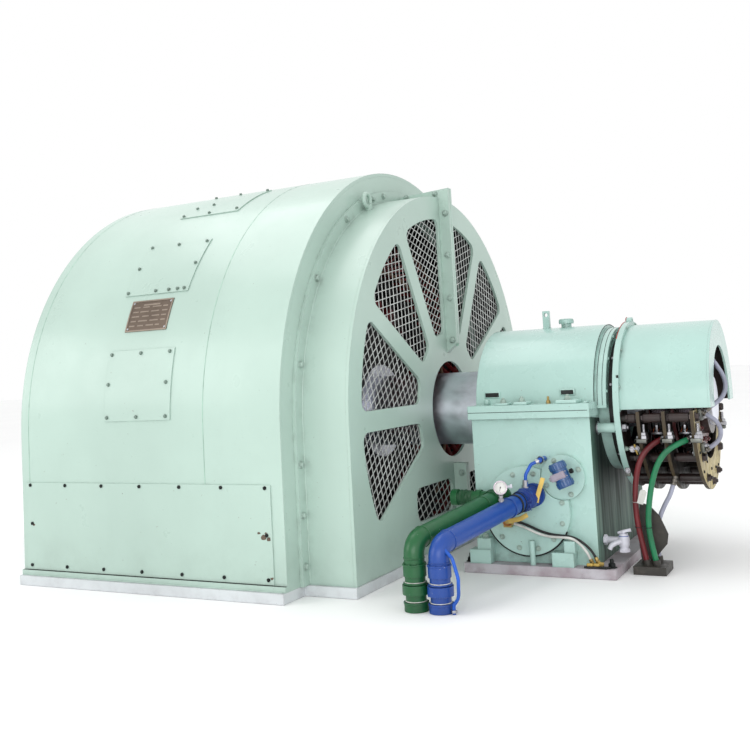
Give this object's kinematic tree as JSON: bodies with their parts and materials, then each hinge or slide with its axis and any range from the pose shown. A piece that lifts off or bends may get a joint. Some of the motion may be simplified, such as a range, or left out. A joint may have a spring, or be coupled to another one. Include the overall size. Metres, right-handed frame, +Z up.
{
  "type": "hydroelectric generator",
  "caption": "Horizontal-shaft hydro generator: arched green housing with mesh-window end bells, pedestal bearings, cooling pipes and hooded slip rings.",
  "frame": {"origin": "on the floor, under the middle of the machine's length, in the shaft's vertical plane", "axes": "+X along the shaft towards the slip rings, +Y across to the side away from the cooling pipes, +Z up"},
  "size_m": [3.4176, 2.1, 1.604],
  "materials": {
    "housing_paint": "satin mint-green paint",
    "panel_paint": "satin mint-green paint, small chips at the screws",
    "bearing_paint": "gloss mint-green paint",
    "sole_steel": "grey primed and dusty steel",
    "pedestal_sole_steel": "dirty grey and oxide-red steel",
    "screen_mesh": "expanded metal",
    "nameplate_metal": "dull bronze, bare",
    "core_steel": "dark laminated steel",
    "winding_red": "red insulating varnish",
    "shaft_steel": "turned steel, oily",
    "rotor_steel": "dark steel",
    "seal_black": "dark felt and rubber seal",
    "pipe_blue": "gloss blue paint",
    "pipe_green": "gloss green paint",
    "instrument_blue": "blue enamel",
    "gauge_steel": "steel case",
    "valve_white": "white valve",
    "epoxy_board": "yellow glass-epoxy board",
    "holder_metal": "tarnished brass",
    "slip_steel": "slip-ring steel with carbon dust",
    "hub_dark": "dark red-brown insulation",
    "cable_red": "red insulation",
    "cable_green": "green insulation",
    "cable_grey": "grey-lavender insulation",
    "lead_black": "black sheath",
    "lead_white": "white sheath, grubby",
    "gland_metal": "nickel-plated brass gland"
  },
  "bodies": {
    "generator_frame": {"access_panels": "panel_paint", "base_sole_plate": "sole_steel", "bearing_cap_drive_side": "bearing_paint", "bearing_cap_ring_side": "bearing_paint", "bearing_end_cover_ring_side": "bearing_paint", "bearing_pedestal_drive_side": "bearing_paint", "bearing_pedestal_ring_side": "bearing_paint", "breather_caps": "bearing_paint", "brush_holders": "holder_metal", "brush_lead_lower": "cable_grey", "brush_lead_upper": "cable_grey", "brush_ring_plates": "epoxy_board", "brush_terminals": "holder_metal", "cable_entry_box": "bearing_paint", "cable_green": "cable_green", "cable_grey": "cable_grey", "cable_red": "cable_red", "cap_lifting_eyes": "bearing_paint", "carrier_disc": "bearing_paint", "cooling_pipe_inlet": "pipe_blue", "cooling_pipe_outlet": "pipe_green", "drain_pipe": "bearing_paint", "drain_valve": "valve_white", "end_bell_drive_side": "housing_paint", "end_bell_ring_side": "housing_paint", "end_plate_drive_side": "housing_paint", "end_plate_ring_side": "housing_paint", "end_walls": "housing_paint", "hood_end_plate": "bearing_paint", "housing_shell": "housing_paint", "instrument_flange": "bearing_paint", "lead_glands": "gland_metal", "lifting_rings": "housing_paint", "lower_side_panels": "panel_paint", "nameplate": "nameplate_metal", "oil_cooler_covers": "bearing_paint", "pedestal_feet": "bearing_paint", "pedestal_soles": "pedestal_sole_steel", "pipe_hoses": "pipe_blue", "pressure_gauge": "gauge_steel", "sensor_lead_black": "lead_black", "sensor_lead_white": "lead_white", "shaft_seal_rings": "seal_black", "slip_ring_hood": "bearing_paint", "split_flanges": "housing_paint", "standoff_rods": "bearing_paint", "stator_core": "core_steel", "stator_windings": "winding_red", "temperature_transmitter": "instrument_blue", "window_screens_drive_side": "screen_mesh", "window_screens_ring_side": "screen_mesh"},
    "rotor": {"shaft": "shaft_steel", "rotor_rim": "rotor_steel", "rotor_poles": "rotor_steel", "rotor_field_coils": "winding_red", "half_coupling": "shaft_steel", "slip_rings": "slip_steel", "slip_ring_hub": "hub_dark"}
  },
  "joints": [
    {"name": "rotor_spin", "type": "hinge", "parent": "generator_frame", "child": "rotor", "pos_m": [0, 0, 0.58], "axis": [1, 0, 0], "continuous": true}
  ]
}
